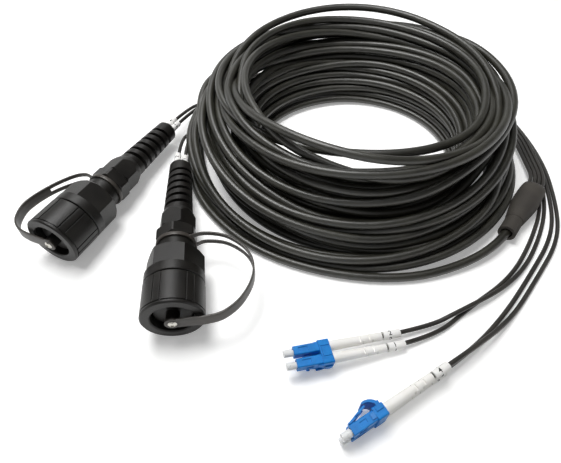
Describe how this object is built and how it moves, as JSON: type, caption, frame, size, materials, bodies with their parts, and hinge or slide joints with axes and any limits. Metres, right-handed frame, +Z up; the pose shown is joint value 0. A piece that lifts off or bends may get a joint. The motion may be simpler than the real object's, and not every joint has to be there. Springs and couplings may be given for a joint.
{
  "type": "armoured fibre patch cord",
  "caption": "Coiled armoured fibre patch cord with strap-capped waterproof plugs at one end and clipped blue LC connector pairs at the other, joined through moulded fan-out boots.",
  "frame": {"origin": "on the floor, at the axis of the coil", "axes": "+Z up, +Y away from the viewer, +X to the viewer's right"},
  "size_m": [0.3342, 0.3424, 0.057],
  "materials": {
    "cable_jacket": "satin black cable jacket",
    "leg_jacket": "satin black thin jacket",
    "plug_shell": "fine-textured black moulded nylon",
    "fanout_rubber": "matt dark grey overmoulded rubber",
    "strap_rubber": "satin dark grey-brown rubber",
    "seal_rubber": "matt black rubber",
    "rivet_steel": "bright steel",
    "connector_blue": "blue moulded plastic",
    "boot_white": "off-white soft plastic",
    "tag_white": "off-white marker sleeve",
    "cap_clear": "milky translucent plastic",
    "ferrule_ceramic": "polished white ceramic"
  },
  "bodies": {
    "cord": {"main_cable_coil": "cable_jacket", "main_cable_front_lead": "cable_jacket", "main_cable_rear_lead": "cable_jacket", "plug_leg_1": "leg_jacket", "plug_leg_2": "leg_jacket", "plug_leg_3": "leg_jacket", "plug_leg_4": "leg_jacket", "lc_leg_1": "leg_jacket", "lc_leg_2": "leg_jacket", "lc_leg_3": "leg_jacket", "lc_leg_4": "leg_jacket", "plug_fanout_boot": "fanout_rubber", "lc_fanout_boot": "fanout_rubber", "plug_fanout_insert": "seal_rubber", "lc_fanout_insert": "seal_rubber", "gland_seals": "seal_rubber", "plug_1_body": "plug_shell", "plug_1_nose": "plug_shell", "plug_1_gland_base": "plug_shell", "plug_1_gland_nut": "plug_shell", "plug_1_lc_cores": "connector_blue", "plug_1_strap": "strap_rubber", "plug_1_tags": "tag_white", "plug_2_body": "plug_shell", "plug_2_nose": "plug_shell", "plug_2_gland_base": "plug_shell", "plug_2_gland_nut": "plug_shell", "plug_2_lc_cores": "connector_blue", "plug_2_strap": "strap_rubber", "plug_2_tags": "tag_white", "lc_housing_1": "connector_blue", "lc_boot_1": "boot_white", "lc_housing_2": "connector_blue", "lc_boot_2": "boot_white", "lc_housing_3": "connector_blue", "lc_boot_3": "boot_white", "lc_housing_4": "connector_blue", "lc_boot_4": "boot_white", "lc_12_clip": "connector_blue", "lc_12_tags": "tag_white", "lc_34_clip": "connector_blue", "lc_34_tags": "tag_white", "lc_ferrules": "ferrule_ceramic"},
    "plug_1_ring": {"plug_1_coupling_ring": "plug_shell"},
    "plug_1_dust_cap": {"plug_1_dust_plug": "plug_shell", "plug_1_dust_seal": "seal_rubber", "plug_1_rivet": "rivet_steel"},
    "plug_2_ring": {"plug_2_coupling_ring": "plug_shell"},
    "plug_2_dust_cap": {"plug_2_dust_plug": "plug_shell", "plug_2_dust_seal": "seal_rubber", "plug_2_rivet": "rivet_steel"},
    "lc_12_latch_pair": {"lc_12_latches": "connector_blue"},
    "lc_12_thumb_trigger": {"lc_12_trigger": "connector_blue"},
    "lc_1_dust_cap": {"lc_cap_1": "cap_clear"},
    "lc_2_dust_cap": {"lc_cap_2": "cap_clear"},
    "lc_34_latch_pair": {"lc_34_latches": "connector_blue"},
    "lc_34_thumb_trigger": {"lc_34_trigger": "connector_blue"},
    "lc_3_dust_cap": {"lc_cap_3": "cap_clear"},
    "lc_4_dust_cap": {"lc_cap_4": "cap_clear"}
  },
  "joints": [
    {"name": "plug_1_ring_turn", "type": "hinge", "parent": "cord", "child": "plug_1_ring", "pos_m": [-0.1734, -0.1016, 0.0171], "axis": [0.3855, 0.9216, -0.0454], "range_deg": [0, 90]},
    {"name": "plug_1_dust_cap_pull", "type": "slide", "parent": "cord", "child": "plug_1_dust_cap", "axis": [-0.3855, -0.9216, 0.0454], "range_m": [0, 0.016], "deforming": ["plug_1_strap"]},
    {"name": "plug_2_ring_turn", "type": "hinge", "parent": "cord", "child": "plug_2_ring", "pos_m": [-0.1, -0.1487, 0.0171], "axis": [-0.1217, 0.9915, -0.0454], "range_deg": [0, 90]},
    {"name": "plug_2_dust_cap_pull", "type": "slide", "parent": "cord", "child": "plug_2_dust_cap", "axis": [0.1217, -0.9915, 0.0454], "range_m": [0, 0.016], "deforming": ["plug_2_strap"]},
    {"name": "lc_12_trigger_press", "type": "hinge", "parent": "cord", "child": "lc_12_thumb_trigger", "pos_m": [-0.02757, -0.16072, 0.00344], "axis": [-0.2351, 0.972, 0], "range_deg": [0, 6], "stiffness_Nm_per_rad": 0.001},
    {"name": "lc_12_latch_press", "type": "hinge", "parent": "cord", "child": "lc_12_latch_pair", "pos_m": [-0.04159, -0.16412, 0.00586], "axis": [0.2351, -0.972, 0], "range_deg": [0, 5]},
    {"name": "lc_1_dust_cap_pull", "type": "slide", "parent": "cord", "child": "lc_1_dust_cap", "axis": [-0.9666, -0.2339, 0.1045], "range_m": [0, 0.01]},
    {"name": "lc_2_dust_cap_pull", "type": "slide", "parent": "cord", "child": "lc_2_dust_cap", "axis": [-0.9666, -0.2339, 0.1045], "range_m": [0, 0.01]},
    {"name": "lc_34_trigger_press", "type": "hinge", "parent": "cord", "child": "lc_34_thumb_trigger", "pos_m": [-0.0081, -0.18499, 0.00665], "axis": [0, 0, 1], "range_deg": [0, 6], "stiffness_Nm_per_rad": 0.001},
    {"name": "lc_34_latch_press", "type": "hinge", "parent": "cord", "child": "lc_34_latch_pair", "pos_m": [-0.02015, -0.19328, 0.00665], "axis": [0, 0, -1], "range_deg": [0, 5]},
    {"name": "lc_3_dust_cap_pull", "type": "slide", "parent": "cord", "child": "lc_3_dust_cap", "axis": [-0.8572, -0.515, 0], "range_m": [0, 0.01]},
    {"name": "lc_4_dust_cap_pull", "type": "slide", "parent": "cord", "child": "lc_4_dust_cap", "axis": [-0.8572, -0.515, 0], "range_m": [0, 0.01]}
  ],
  "couplings": [
    {"joint": "lc_12_latch_press", "follows": "lc_12_trigger_press", "ratio": 0.8},
    {"joint": "lc_34_latch_press", "follows": "lc_34_trigger_press", "ratio": 0.8}
  ]
}
